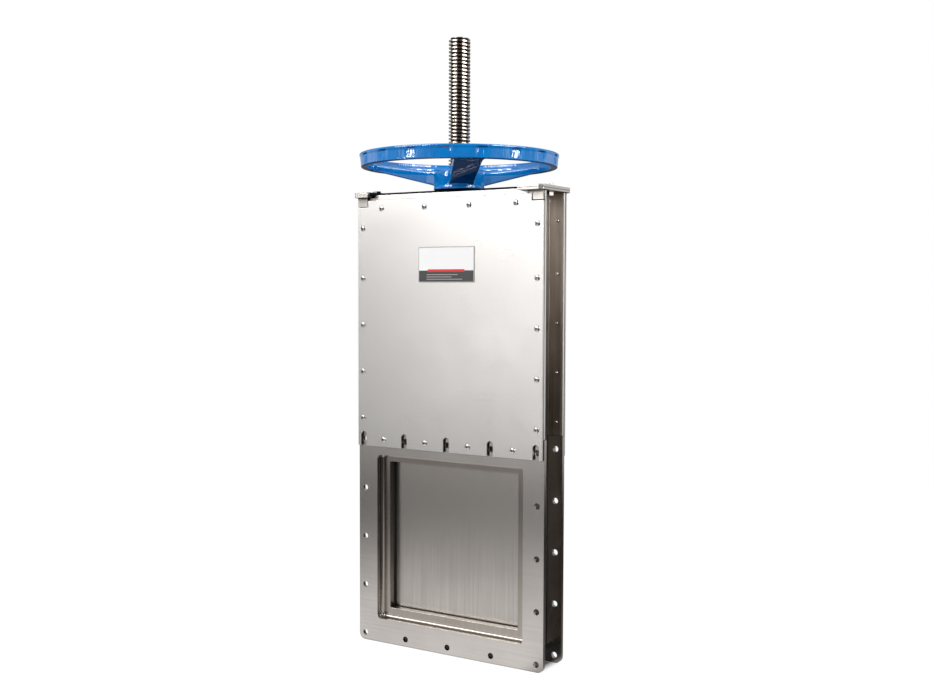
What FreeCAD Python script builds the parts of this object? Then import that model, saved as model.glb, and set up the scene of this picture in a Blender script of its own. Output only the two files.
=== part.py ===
"""Slide gate valve with a rising stem and a handwheel, for a 300 mm square duct.

Millimetres. The origin is at the middle of the flanges' bottom edges, in the plane of the gate.
+Z is up along the stem, X runs along the flange face and Y along the duct. The front is at -Y.
The gate is shut.
"""
import FreeCAD, Part
import math
import os

V = FreeCAD.Vector
UP = V(0, 0, 1)
FRONT = -1
REAR = 1

# Flange plates and their bolt pattern
pattern_margin = 50.0
holes_along_side = 5
bolt_hole_diameter = 12.0
side_edge_distance = 15.0
bottom_edge_distance = 15.0
top_edge_distance = 25.0
face_to_face = 80.0
flange_thickness = 8.0
flange_corner_radius = 13.0

# Port: a recess in each flange, a seat plate behind it and a collar that carries the seat seal
port_size = 300.0
port_lift = 5.0
recess_side_margin = 20.0
recess_bottom_margin = 21.5
recess_top_margin = 14.5
recess_depth = 17.0
recess_corner_radius = 8.0
cove_radius = 6.0
frame_wall = 7.0
seat_plate_thickness = 6.0
collar_width = 12.0

# Gate, its seals, guides and packing
gate_thickness = 10.0
gate_bottom_lap = 8.0
gate_head = 30.0
gate_corner_chamfer = 4.0
open_clearance = 2.0
seal_gap = 0.3
seat_seal_height = 4.7
guide_end_gap = 1.0
guide_lip = 5.0
guide_side_clearance = 1.0
guide_top_margin = 20.0
gland_standoff = 6.0
gland_bar_height = 30.0
gland_bar_inner_y = 12.0
packing_height = 20.0

# Housing above the flanges
channel_sheet = 6.0
upper_side_inset = 1.5
housing_headroom = 128.0
bottom_bar_thickness = 8.0
top_rail_height = 40.0

# Covers and their gaskets
cover_thickness = 4.0
gasket_thickness = 2.0
gasket_lip = 3.0
gasket_notch_clearance = 1.0
cover_below_pattern = 13.0
cover_below_top = 11.0
slot_width = 13.0
slot_rise = 9.5

# Rating plate on the front cover
label_width = 129.0
label_height = 69.0
label_thickness = 1.0
label_below_top = 95.0

# Lugs that clasp the housing's top corners, and the bridge bolted across them
lug_thickness = 5.0
lug_side_overhang = 3.5
left_lug_inset = 3.0
right_lug_reach = 13.0
lug_face_overhang = 13.0
lug_corner_chamfer = 7.0
tab_width = 24.0
tab_drop = 18.0
tab_slit = 1.2
bridge_thickness = 5.0
bridge_half_width = 24.0
bridge_taper = 15.0
bridge_eye_wall = 8.0
rib_thickness = 6.0
rib_height = 38.0
rib_y = 18.0
rib_end_inset = 22.0
lug_bolt_from_web = 17.0

# Hexagon bolts and nuts
bolt_diameter = 10.0
bolt_hole_clearance = 0.5
bolt_head_across = 16.0
bolt_head_height = 6.4
nut_height = 8.0

# Stem and the nut that lifts it
stem_diameter = 42.0
stem_clearance = 0.05
stem_top_chamfer = 3.0
stem_stand = 257.5
nut_neck_diameter = 54.0
nut_flange_diameter = 64.0
nut_flange_thickness = 8.0
neck_clearance = 0.05
thrust_gap = 0.3
bearing_block_height = 18.0
bearing_block_half_length = 45.0
bearing_block_side_gap = 1.0
key_width = 12.0
key_length = 28.0
key_in_nut = 3.0
key_in_hub = 4.0

# Bracket that joins the stem to the gate
tongue_gap = 4.0
pin_rise = 25.0
pin_diameter = 16.0
pin_end = 2.0
shoulder_rise = 50.0
cheek_thickness = 8.0
cheek_half_width = 40.0
cheek_below = 24.0
cheek_above_pin = 17.0

# Handwheel: hub, three spokes that climb to the rim, and a rim with finger grooves
wheel_diameter = 390.0
hub_diameter = 92.0
hub_foot_diameter = 100.0
hub_foot_height = 6.0
hub_height = 36.7
rim_rise = 42.5
rim_height = 26.0
rim_width = 17.0
rim_lip_width = 6.0
rim_lip_height = 4.5
rim_ledge_drop = 9.0
spoke_count = 3
spoke_first_angle = -51.7
spoke_hub_width = 46.0
spoke_hub_height = 28.5
spoke_rim_width = 54.0
spoke_rim_height = 13.0
spoke_corner = 3.5
spoke_rim_rise = 1.5
spoke_embed = 6.0
groove_count = 18
grip_offset_angle = -3.0
groove_width = 28.0
groove_depth = 3.0

# Places that follow from the sizes above
port_half = port_size / 2
pattern_half = port_half + pattern_margin
hole_pitch = 2 * pattern_half / (holes_along_side - 1)
flange_half_width = pattern_half + side_edge_distance
pattern_bottom_z = bottom_edge_distance
pattern_top_z = pattern_bottom_z + 2 * pattern_half
pattern_centre_z = pattern_bottom_z + pattern_half
flange_top_z = pattern_top_z + top_edge_distance
flange_face_y = face_to_face / 2
flange_back_y = flange_face_y - flange_thickness

port_bottom_z = pattern_centre_z + port_lift - port_half
port_top_z = port_bottom_z + port_size
recess_half = port_half + recess_side_margin
recess_bottom_z = port_bottom_z - recess_bottom_margin
recess_top_z = port_top_z + recess_top_margin
seat_face_y = flange_face_y - recess_depth
seat_back_y = seat_face_y - seat_plate_thickness
frame_half_width = recess_half + frame_wall
frame_bottom_z = recess_bottom_z - frame_wall
frame_top_z = recess_top_z + frame_wall
collar_half = port_half + collar_width

gate_face_y = gate_thickness / 2
seal_face_y = gate_face_y + seal_gap
collar_back_y = seal_face_y + seat_seal_height
guide_inner_half = collar_half + guide_end_gap
gate_half_width = guide_inner_half + guide_lip
groove_half = gate_half_width + guide_side_clearance
gate_bottom_z = port_bottom_z - gate_bottom_lap
gate_top_z = flange_top_z + gate_head
stroke = port_size + gate_bottom_lap + open_clearance
guide_top_z = gate_top_z + stroke - guide_top_margin
gland_bottom_z = frame_top_z + gland_standoff
gland_middle_z = gland_bottom_z + gland_bar_height / 2

web_outer = frame_half_width + channel_sheet
bottom_bar_z = frame_bottom_z - bottom_bar_thickness
cover_half_width = flange_half_width - upper_side_inset
housing_top_z = gate_top_z + stroke + housing_headroom
lug_bottom_z = housing_top_z - lug_thickness
leg_inner_y = flange_face_y - channel_sheet
rail_bottom_z = housing_top_z - top_rail_height

cover_bottom_z = pattern_top_z - cover_below_pattern
cover_top_z = housing_top_z - cover_below_top
cover_back_y = flange_face_y + gasket_thickness
cover_face_y = cover_back_y + cover_thickness
lug_outer_x = cover_half_width + lug_side_overhang
left_lug_inner_x = frame_half_width + left_lug_inset
right_lug_inner_x = frame_half_width - right_lug_reach
lug_half_depth = cover_face_y + lug_face_overhang
tab_inner_x = cover_half_width - tab_width
tab_bottom_z = lug_bottom_z - tab_drop
rib_end_x = frame_half_width - rib_end_inset
lug_bolt_x = web_outer + lug_bolt_from_web
slot_round_z = pattern_top_z + slot_rise

bridge_top_z = housing_top_z + bridge_thickness
block_bottom_z = housing_top_z - bearing_block_height
block_half_depth = leg_inner_y - bearing_block_side_gap
nut_flange_top_z = block_bottom_z - thrust_gap
nut_bottom_z = nut_flange_top_z - nut_flange_thickness
hub_bottom_z = bridge_top_z + thrust_gap
hub_top_z = hub_bottom_z + hub_height
stem_top_z = hub_top_z + stem_stand
neck_radius = nut_neck_diameter / 2
stem_radius = stem_diameter / 2

pin_z = gate_top_z + pin_rise
tongue_bottom_z = gate_top_z + tongue_gap
shoulder_z = gate_top_z + shoulder_rise
cheek_face_y = gate_face_y + cheek_thickness

rim_outer = wheel_diameter / 2
rim_inner = rim_outer - rim_width
rim_bottom_z = hub_bottom_z + rim_rise
rim_top_z = rim_bottom_z + rim_height


def block(x0, x1, y0, y1, z0, z1):
    """A rectangular block between two corners."""
    return Part.makeBox(x1 - x0, y1 - y0, z1 - z0, V(x0, y0, z0))


def rounded_wire(corners):
    """A closed outline through (point, radius) corners, each rounded by a tangent arc."""
    joints = []
    for i, (corner, radius) in enumerate(corners):
        to_last = (corners[i - 1][0] - corner).normalize()
        to_next = (corners[(i + 1) % len(corners)][0] - corner).normalize()
        if radius == 0:
            joints.append((corner, None, corner))
            continue
        half_angle = to_last.getAngle(to_next) / 2
        tangent = radius / math.tan(half_angle)
        inward = (to_last + to_next).normalize()
        middle = corner + inward * (radius / math.sin(half_angle) - radius)
        joints.append((corner + to_last * tangent, middle, corner + to_next * tangent))
    edges = []
    for i, (start, middle, end) in enumerate(joints):
        if middle is not None:
            edges.append(Part.Arc(start, middle, end).toShape())
        next_start = joints[(i + 1) % len(joints)][0]
        edges.append(Part.LineSegment(end, next_start).toShape())
    return Part.Wire(edges)


def upright_panel(half_width, z0, z1, y0, y1, bottom_radius=0, top_radius=0):
    """A panel in the plane of the flange face, centred on X, with rounded corners."""
    corners = [
        (V(-half_width, y0, z0), bottom_radius),
        (V(half_width, y0, z0), bottom_radius),
        (V(half_width, y0, z1), top_radius),
        (V(-half_width, y0, z1), top_radius),
    ]
    return Part.Face(rounded_wire(corners)).extrude(V(0, y1 - y0, 0))


def side_band(side, near, far):
    """The Y range between two distances from the gate's plane, on the front or the rear side."""
    return min(side * near, side * far), max(side * near, side * far)


def round_z(radius, z0, z1, x=0, y=0):
    """An upright cylinder."""
    return Part.makeCylinder(radius, z1 - z0, V(x, y, z0), UP)


def round_y(radius, x, z, y0, y1):
    """A cylinder along the duct."""
    return Part.makeCylinder(radius, y1 - y0, V(x, y0, z), V(0, 1, 0))


def polar(radius, degrees, z):
    """The point at a radius and an angle around the stem."""
    angle = math.radians(degrees)
    return V(radius * math.cos(angle), radius * math.sin(angle), z)


def prism(points, height):
    """An upright prism on a flat outline."""
    return Part.Face(Part.makePolygon(points + points[:1])).extrude(V(0, 0, height))


def hexagon(x, z, height):
    """A bolt's head or nut, of the usual width across its flats."""
    corner_radius = bolt_head_across / 2 / math.cos(math.pi / 6)
    return prism([polar(corner_radius, 60 * k, z) + V(x, 0, 0) for k in range(6)], height)


def pattern_holes():
    """The flange's bolt holes: a square of evenly spaced holes, as (x, z) places."""
    steps = [pattern_half - hole_pitch * k for k in range(holes_along_side)]
    places = []
    for x in steps:
        for step in steps:
            if pattern_half in (abs(x), abs(step)):
                places.append((x, pattern_centre_z + step))
    return places


def flange(side):
    """One flange plate with its bolt holes and the window of the port recess."""
    y0, y1 = side_band(side, flange_back_y, flange_face_y)
    plate = upright_panel(flange_half_width, 0, flange_top_z, y0, y1, flange_corner_radius)
    window = upright_panel(
        recess_half, recess_bottom_z, recess_top_z, y0, y1, recess_corner_radius, recess_corner_radius
    )
    holes = [round_y(bolt_hole_diameter / 2, x, z, y0, y1) for x, z in pattern_holes()]
    return plate.cut(window).cut(Part.makeCompound(holes))


def port_frame(side):
    """The stepped frame behind a flange: recess wall, coved seat plate and port collar."""
    y0, y1 = side_band(side, collar_back_y, flange_back_y)
    body = upright_panel(frame_half_width, frame_bottom_z, frame_top_z, y0, y1)
    y0, y1 = side_band(side, seat_face_y, flange_back_y)
    recess = upright_panel(
        recess_half, recess_bottom_z, recess_top_z, y0, y1, recess_corner_radius, recess_corner_radius
    )
    y0, y1 = side_band(side, collar_back_y, seat_back_y)
    collar_outside = upright_panel(frame_half_width, frame_bottom_z, frame_top_z, y0, y1).cut(
        upright_panel(collar_half, port_bottom_z - collar_width, port_top_z + collar_width, y0, y1)
    )
    frame = body.cut(recess).cut(collar_outside)
    seat_edges = [
        edge
        for edge in frame.Edges
        if all(abs(vertex.Y - side * seat_face_y) < 0.001 for vertex in edge.Vertexes)
    ]
    frame = frame.makeFillet(cove_radius, seat_edges)
    y0, y1 = side_band(side, collar_back_y, seat_face_y)
    return frame.cut(upright_panel(port_half, port_bottom_z, port_top_z, y0, y1))


def seat_seal(side):
    """The square seal on a port collar, a hair clear of the gate."""
    y0, y1 = side_band(side, seal_face_y, collar_back_y)
    seal = upright_panel(
        collar_half, port_bottom_z - collar_width, port_top_z + collar_width, y0, y1
    )
    return seal.cut(upright_panel(port_half, port_bottom_z, port_top_z, y0, y1))


def guide(hand):
    """A grooved rail for one edge of the gate, on the inner face of a side channel."""
    x0, x1 = side_band(hand, guide_inner_half, frame_half_width)
    rail = block(x0, x1, -collar_back_y, collar_back_y, frame_bottom_z, guide_top_z)
    x0, x1 = side_band(hand, guide_inner_half, groove_half)
    groove = block(x0, x1, -seal_face_y, seal_face_y, frame_bottom_z, guide_top_z)
    return rail.cut(groove)


def gland_bar(side):
    """The cross bar behind a flange's top edge that backs the packing."""
    y0, y1 = side_band(side, gland_bar_inner_y, flange_back_y)
    top = gland_bottom_z + gland_bar_height
    return block(-frame_half_width, frame_half_width, y0, y1, gland_bottom_z, top)


def packing(side):
    """The strip that wipes one face of the gate where it enters the housing."""
    y0, y1 = side_band(side, seal_face_y, gland_bar_inner_y)
    z0 = gland_middle_z - packing_height / 2
    return block(-collar_half, collar_half, y0, y1, z0, z0 + packing_height)


def channel(hand):
    """A side channel, open outwards above the flanges and a plain web between them."""
    x0, x1 = side_band(hand, frame_half_width, cover_half_width)
    upper = block(x0, x1, -flange_face_y, flange_face_y, flange_top_z, lug_bottom_z)
    x0, x1 = side_band(hand, web_outer, cover_half_width)
    hollow = block(x0, x1, -leg_inner_y, leg_inner_y, flange_top_z, lug_bottom_z)
    x0, x1 = side_band(hand, frame_half_width, web_outer)
    lower = block(x0, x1, -flange_back_y, flange_back_y, bottom_bar_z, flange_top_z)
    return upper.cut(hollow).fuse(lower).removeSplitter()


def top_rail(side):
    """A bar between the side channels that takes a cover's top screws."""
    y0, y1 = side_band(side, leg_inner_y, flange_face_y)
    rail = block(-frame_half_width, frame_half_width, y0, y1, rail_bottom_z, lug_bottom_z)
    step = block(-left_lug_inner_x, right_lug_inner_x, y0, y1, lug_bottom_z, housing_top_z)
    return rail.fuse(step.common(block(
        -frame_half_width, frame_half_width, y0, y1, lug_bottom_z, housing_top_z
    ))).removeSplitter()


def slot_boxes(width, top, y0, y1):
    """Upright notches at the flange's hole columns, open at the cover's bottom edge."""
    columns = [pattern_half - hole_pitch * k for k in range(holes_along_side)]
    return [block(x - width / 2, x + width / 2, y0, y1, cover_bottom_z, top) for x in columns]


def cover(side):
    """The sheet that closes the housing: round slots for the top bolts, notches for the lugs' tabs."""
    y0, y1 = side_band(side, cover_back_y, cover_face_y)
    sheet = upright_panel(cover_half_width, cover_bottom_z, cover_top_z, y0, y1)
    slots = []
    for straight in slot_boxes(slot_width, slot_round_z, y0, y1):
        slots.append(straight)
        slots.append(round_y(slot_width / 2, straight.CenterOfMass.x, slot_round_z, y0, y1))
    notch_inner_x = tab_inner_x - tab_slit
    notches = []
    for hand in (-1, 1):
        x0, x1 = side_band(hand, notch_inner_x, cover_half_width)
        notches.append(block(x0, x1, y0, y1, tab_bottom_z - tab_slit, cover_top_z))
    return sheet.cut(Part.makeCompound(slots)).cut(Part.makeCompound(notches))


def cover_gasket(side):
    """The flat gasket between a cover and the housing, notched behind the cover's slots."""
    y0, y1 = side_band(side, flange_face_y, cover_back_y)
    ring = upright_panel(cover_half_width, cover_bottom_z, cover_top_z, y0, y1)
    window = upright_panel(
        web_outer + gasket_lip, flange_top_z, rail_bottom_z + gasket_lip, y0, y1
    )
    notch_width = slot_width + 2 * gasket_notch_clearance
    notch_top = slot_round_z + slot_width / 2 + gasket_notch_clearance
    notches = slot_boxes(notch_width, notch_top, y0, y1)
    return ring.cut(window).cut(Part.makeCompound(notches))


def lug(hand, inner_x):
    """A saddle plate on a side channel's top, with tabs that reach down into the covers' notches."""
    z0 = lug_bottom_z
    corners = [
        V(hand * inner_x, -lug_half_depth, z0),
        V(hand * (lug_outer_x - lug_corner_chamfer), -lug_half_depth, z0),
        V(hand * lug_outer_x, -lug_half_depth + lug_corner_chamfer, z0),
        V(hand * lug_outer_x, lug_half_depth - lug_corner_chamfer, z0),
        V(hand * (lug_outer_x - lug_corner_chamfer), lug_half_depth, z0),
        V(hand * inner_x, lug_half_depth, z0),
    ]
    plate = prism(corners, lug_thickness)
    x0, x1 = side_band(hand, tab_inner_x, cover_half_width)
    for side in (FRONT, REAR):
        y0, y1 = side_band(side, cover_back_y, cover_face_y)
        plate = plate.fuse(block(x0, x1, y0, y1, tab_bottom_z, lug_bottom_z))
    hole_radius = bolt_diameter / 2 + bolt_hole_clearance
    hole = round_z(hole_radius, lug_bottom_z, housing_top_z, x=hand * lug_bolt_x)
    return plate.cut(hole).removeSplitter()


def bridge():
    """The plate bolted across the lugs, with ribs under its arms and a bored block for the nut."""
    half = []
    for hand, inner_x in ((-1, left_lug_inner_x), (1, right_lug_inner_x)):
        half.append([
            V(hand * (inner_x - bridge_taper), -bridge_half_width, housing_top_z),
            V(hand * inner_x, -lug_half_depth, housing_top_z),
            V(hand * (lug_outer_x - lug_corner_chamfer), -lug_half_depth, housing_top_z),
            V(hand * lug_outer_x, -lug_half_depth + lug_corner_chamfer, housing_top_z),
        ])
    front_side = half[0][::-1] + half[1]
    rear_side = [V(p.x, -p.y, p.z) for p in front_side[::-1]]
    plate = prism(front_side + rear_side, bridge_thickness)
    bore_radius = neck_radius + neck_clearance
    plate = plate.fuse(round_z(bore_radius + bridge_eye_wall, housing_top_z, bridge_top_z))
    length = bearing_block_half_length
    plate = plate.fuse(
        block(-length, length, -block_half_depth, block_half_depth, block_bottom_z, housing_top_z)
    )
    for hand in (-1, 1):
        for side in (FRONT, REAR):
            x0, x1 = side_band(hand, length, rib_end_x)
            y0, y1 = side_band(side, rib_y - rib_thickness / 2, rib_y + rib_thickness / 2)
            plate = plate.fuse(block(x0, x1, y0, y1, housing_top_z - rib_height, housing_top_z))
    hole_radius = bolt_diameter / 2 + bolt_hole_clearance
    for hand in (-1, 1):
        plate = plate.cut(round_z(hole_radius, housing_top_z, bridge_top_z, x=hand * lug_bolt_x))
    return plate.cut(round_z(bore_radius, block_bottom_z, bridge_top_z)).removeSplitter()


def lug_bolts():
    """The bolt through the bridge and each lug, head on top and nut below."""
    bolts = []
    nut_z = lug_bottom_z - nut_height
    for hand in (-1, 1):
        x = hand * lug_bolt_x
        head = hexagon(x, bridge_top_z, bolt_head_height)
        nut = hexagon(x, nut_z, nut_height)
        bolts.append(head.fuse([nut, round_z(bolt_diameter / 2, lug_bottom_z, bridge_top_z, x=x)]))
    return Part.makeCompound(bolts)


def key_box():
    """The room of the key that locks the hub to the stem nut."""
    middle_z = (hub_bottom_z + hub_top_z) / 2
    return block(
        neck_radius - key_in_nut,
        neck_radius + key_in_hub,
        -key_width / 2,
        key_width / 2,
        middle_z - key_length / 2,
        middle_z + key_length / 2,
    )


def key_way():
    """The keyway, open upwards so that the hub can be put on over the key."""
    key = key_box().BoundBox
    return block(key.XMin, key.XMax, key.YMin, key.YMax, key.ZMin, hub_top_z)


def stem_nut():
    """The flanged nut that turns with the handwheel and lifts the stem."""
    nut = round_z(neck_radius, nut_bottom_z, hub_top_z)
    nut = nut.fuse(round_z(nut_flange_diameter / 2, nut_bottom_z, nut_flange_top_z))
    return nut.cut(round_z(stem_radius + stem_clearance, nut_bottom_z, hub_top_z)).cut(key_way())


def spoke():
    """One spoke along +X: deep and narrow at the hub, shallow and wide at the rim."""
    ends = []
    for x, width, height, z0 in (
        (neck_radius + spoke_embed, spoke_hub_width, spoke_hub_height, hub_bottom_z + hub_foot_height),
        (rim_inner + spoke_embed, spoke_rim_width, spoke_rim_height, rim_bottom_z + spoke_rim_rise),
    ):
        y, z1 = width / 2, z0 + height
        corners = [
            V(x, -y + spoke_corner, z0),
            V(x, y - spoke_corner, z0),
            V(x, y, z0 + spoke_corner),
            V(x, y, z1 - spoke_corner),
            V(x, y - spoke_corner, z1),
            V(x, -y + spoke_corner, z1),
            V(x, -y, z1 - spoke_corner),
            V(x, -y, z0 + spoke_corner),
        ]
        ends.append(Part.makePolygon(corners + corners[:1]))
    return Part.makeLoft(ends, True, True)


def rim():
    """The rim: a band with finger grooves under a plain lip, in flats that follow the circle."""
    groove_turn = 2 * math.degrees(math.asin(groove_width / 2 / rim_outer))
    grip_turn = 360 / groove_count - groove_turn
    lip_z = rim_top_z - rim_lip_height
    turns = []
    band = []
    for k in range(groove_count):
        middle = spoke_first_angle + grip_offset_angle + 360 / groove_count * k
        end = middle + grip_turn / 2
        turns += [middle - grip_turn / 2, end]
        band += [polar(rim_outer, turn, rim_bottom_z) for turn in turns[-2:]]
        for share in (1 / 3, 2 / 3):
            band.append(polar(rim_outer - groove_depth, end + groove_turn * share, rim_bottom_z))
    ring = prism(band, lip_z - rim_bottom_z)
    ring = ring.fuse(prism([polar(rim_outer, turn, lip_z) for turn in turns], rim_lip_height))
    ledge_z = rim_top_z - rim_ledge_drop
    for radius, z0 in ((rim_inner, rim_bottom_z), (rim_outer - rim_lip_width, ledge_z)):
        ring = ring.cut(prism([polar(radius, turn, z0) for turn in turns], rim_top_z - z0))
    return ring


def handwheel():
    """The cast handwheel: a round hub, three climbing spokes and a grooved rim."""
    wheel = round_z(hub_diameter / 2, hub_bottom_z, hub_top_z)
    wheel = wheel.fuse(round_z(hub_foot_diameter / 2, hub_bottom_z, hub_bottom_z + hub_foot_height))
    wheel = wheel.fuse(rim())
    for k in range(spoke_count):
        arm = spoke()
        arm.rotate(V(0, 0, 0), UP, spoke_first_angle + 360 / spoke_count * k)
        wheel = wheel.fuse(arm)
    bore = round_z(neck_radius + neck_clearance, hub_bottom_z, hub_top_z)
    return wheel.cut(bore).cut(key_way())


def gate():
    """The gate plate with clipped corners, and the two cheeks on its head that clasp the stem."""
    plate = block(
        -gate_half_width, gate_half_width, -gate_face_y, gate_face_y, gate_bottom_z, gate_top_z
    )
    upright_corners = [edge for edge in plate.Edges if edge.BoundBox.YLength > gate_face_y]
    plate = plate.makeChamfer(gate_corner_chamfer, upright_corners)
    cheek_top = pin_z + cheek_above_pin
    corners = [
        V(-cheek_half_width, 0, gate_top_z - cheek_below),
        V(cheek_half_width, 0, gate_top_z - cheek_below),
        V(cheek_half_width, 0, gate_top_z),
        V(stem_radius, 0, cheek_top),
        V(-stem_radius, 0, cheek_top),
        V(-cheek_half_width, 0, gate_top_z),
    ]
    outline = Part.Face(Part.makePolygon(corners + corners[:1]))
    for side in (FRONT, REAR):
        y0, y1 = side_band(side, gate_face_y, cheek_face_y)
        cheek = outline.extrude(V(0, y1 - y0, 0))
        cheek.translate(V(0, y0, 0))
        plate = plate.fuse(cheek.cut(round_y(pin_diameter / 2, 0, pin_z, y0, y1)))
    return plate


def stem():
    """The rising stem, with a flat tongue at its foot for the bracket's pin."""
    shaft = round_z(stem_radius, shoulder_z, stem_top_z)
    top_edge = [edge for edge in shaft.Edges if edge.BoundBox.ZMin > stem_top_z - 1]
    shaft = shaft.makeChamfer(stem_top_chamfer, top_edge)
    tongue = round_z(stem_radius, tongue_bottom_z, shoulder_z).common(
        block(-stem_radius, stem_radius, -gate_face_y, gate_face_y, tongue_bottom_z, shoulder_z)
    )
    eye = round_y(pin_diameter / 2, 0, pin_z, -gate_face_y, gate_face_y)
    return shaft.fuse(tongue).cut(eye).removeSplitter()


def cheek_pin():
    """The pin that hangs the gate on the stem."""
    return round_y(pin_diameter / 2, 0, pin_z, -cheek_face_y - pin_end, cheek_face_y + pin_end)


def label_plate():
    """The thin plate on the front cover."""
    z1 = cover_top_z - label_below_top
    y0, y1 = side_band(FRONT, cover_face_y, cover_face_y + label_thickness)
    return upright_panel(label_width / 2, z1 - label_height, z1, y0, y1)


nodes = {
    "front_flange": flange(FRONT),
    "rear_flange": flange(REAR),
    "front_port_frame": port_frame(FRONT),
    "rear_port_frame": port_frame(REAR),
    "front_seat_seal": seat_seal(FRONT),
    "rear_seat_seal": seat_seal(REAR),
    "sill_seal": block(
        -collar_half, collar_half, -gate_face_y, gate_face_y, frame_bottom_z, gate_bottom_z - seal_gap
    ),
    "bottom_bar": block(
        -frame_half_width, frame_half_width, -flange_back_y, flange_back_y, bottom_bar_z, frame_bottom_z
    ),
    "left_guide": guide(-1),
    "right_guide": guide(1),
    "front_gland_bar": gland_bar(FRONT),
    "rear_gland_bar": gland_bar(REAR),
    "front_packing": packing(FRONT),
    "rear_packing": packing(REAR),
    "left_channel": channel(-1),
    "right_channel": channel(1),
    "front_top_rail": top_rail(FRONT),
    "rear_top_rail": top_rail(REAR),
    "front_gasket": cover_gasket(FRONT),
    "rear_gasket": cover_gasket(REAR),
    "front_cover": cover(FRONT),
    "rear_cover": cover(REAR),
    "label_plate": label_plate(),
    "left_lug": lug(-1, left_lug_inner_x),
    "right_lug": lug(1, right_lug_inner_x),
    "bridge": bridge(),
    "lug_bolts": lug_bolts(),
    "stem_nut": stem_nut(),
    "wheel_key": key_box(),
    "handwheel": handwheel(),
    "gate": gate(),
    "stem": stem(),
    "cheek_pin": cheek_pin(),
}

os.makedirs("parts", exist_ok=True)
for name, shape in nodes.items():
    shape.exportStep("parts/" + name + ".step")
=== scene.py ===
"""The looks of a stainless slide gate valve with a threaded rising stem and a blue cast handwheel."""

import math
import bmesh
import bpy
from mathutils import Matrix, Vector


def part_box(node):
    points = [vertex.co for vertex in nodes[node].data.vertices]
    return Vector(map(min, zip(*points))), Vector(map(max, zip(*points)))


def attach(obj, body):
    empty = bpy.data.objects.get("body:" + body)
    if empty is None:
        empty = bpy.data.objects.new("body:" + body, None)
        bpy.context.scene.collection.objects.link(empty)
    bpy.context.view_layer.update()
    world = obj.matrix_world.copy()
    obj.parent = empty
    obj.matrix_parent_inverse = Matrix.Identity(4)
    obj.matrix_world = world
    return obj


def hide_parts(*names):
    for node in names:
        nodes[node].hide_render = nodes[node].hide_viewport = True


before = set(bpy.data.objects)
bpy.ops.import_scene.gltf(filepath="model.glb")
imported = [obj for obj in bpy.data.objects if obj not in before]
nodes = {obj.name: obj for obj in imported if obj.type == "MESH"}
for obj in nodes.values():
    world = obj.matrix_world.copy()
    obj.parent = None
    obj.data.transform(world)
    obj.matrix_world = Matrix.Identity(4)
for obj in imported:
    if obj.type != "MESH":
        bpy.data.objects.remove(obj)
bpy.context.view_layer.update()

scene = bpy.context.scene
scene.view_settings.view_transform = "Standard"
MM = 0.001

# The photograph's view, with its angles in degrees
CAMERA_PLACE = (1.2713, -1.9826, 0.7184)
CAMERA_PAN = 32.275
CAMERA_TILT = 87.128
CAMERA_ROLL = 0.18
CAMERA_LENS = 46.06
CAMERA_SENSOR = 36

# The studio that metal mirrors: angles away from its dark side and above the horizon, in degrees,
# with the brightness there
DARK_SIDE = math.radians(33)
ROOM_AROUND = [
    (0, 0.18), (30, 0.18), (38, 0.5), (48, 0.7), (56, 1.9), (62, 1.8),
    (73, 0.54), (88, 0.40), (108, 1.2), (124, 1.2), (145, 0.6), (180, 0.7),
]
ROOM_UP = [(-30, 0.15), (-12, 0.34), (-7.5, 0.56), (-1, 0.79), (4.5, 0.85), (8, 0.35), (60, 0.35)]
SOFTBOX_AROUND = [
    (0, 0.0), (34, 0.0), (38, 8.0), (44, 8.0), (46, 0.3), (52, 0.3), (54, 8.0), (60, 8.0),
    (62, 0.3), (66, 0.3), (68, 5.5), (73, 5.5), (76, 0.3), (120, 0.2), (150, 0.0), (180, 0.0),
]
SOFTBOX_UP = [(-90, 0.0), (9.5, 0.0), (11.5, 1.0), (40, 1.0), (46, 0.0), (90, 0.0)]
ROOM_OVERHEAD = [(30, 0.0), (60, 1.0)]
CEILING = 1.0
AROUND_PEAK = 8.0

# The light that paint and plastic get from the world, by the angle above the horizon
DULL_UP = [(-12, 0.3), (0, 0.75)]

# Soft lamps: name, place, width, height and power
LAMPS = [
    ("left_softbox", (-1.3, -2.6, 2.6), 1.6, 1.2, 25),
    ("right_softbox", (3.0, -0.4, 2.2), 1.2, 1.2, 20),
]
LAMP_AIM = (0, 0, 0.6)
STRIP_ANGLES = (-71, -57, -41, 41, 57, 71)
STRIP_REACH = 3.0
STRIP_HEIGHT = 1.68
STRIP_WIDTH = 0.28
STRIP_LENGTH = 0.50
STRIP_POWER = 6.5

# The floor: its brightness in metal, by the distance from the valve and around it
FLOOR_REACH = 2.6
FLOOR_SIDES = 64
FLOOR_AROUND = [(0, 2.2), (29, 2.2), (38, 1.0), (90, 1.0), (115, 0.3), (180, 0.15)]
FLOOR_FAR_FROM = 0.45
FLOOR_FAR_FULL = 0.85
FLOOR_TONE = [(0.0, 1.0), (0.35, 0.95), (0.7, 0.70), (1.2, 0.30), (1.7, 0.10), (2.6, 0.10)]
FLOOR_TONE_SCALE = 1.2
FLOOR_WHITE = 0.90
# Painted shadow: between the flanges' feet on the floor, and in metal to the valve's right
FOOT_HALF_LENGTH = 200 * MM
FOOT_HALF_DEPTH = 34 * MM
FOOT_SOFT_LENGTH = 10 * MM
FOOT_SOFT_DEPTH = 4 * MM
FOOT_LIGHT = 0.03
LEE_START = 0.16
LEE_FULL = 0.25
LEE_LIGHT = 0.12

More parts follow.
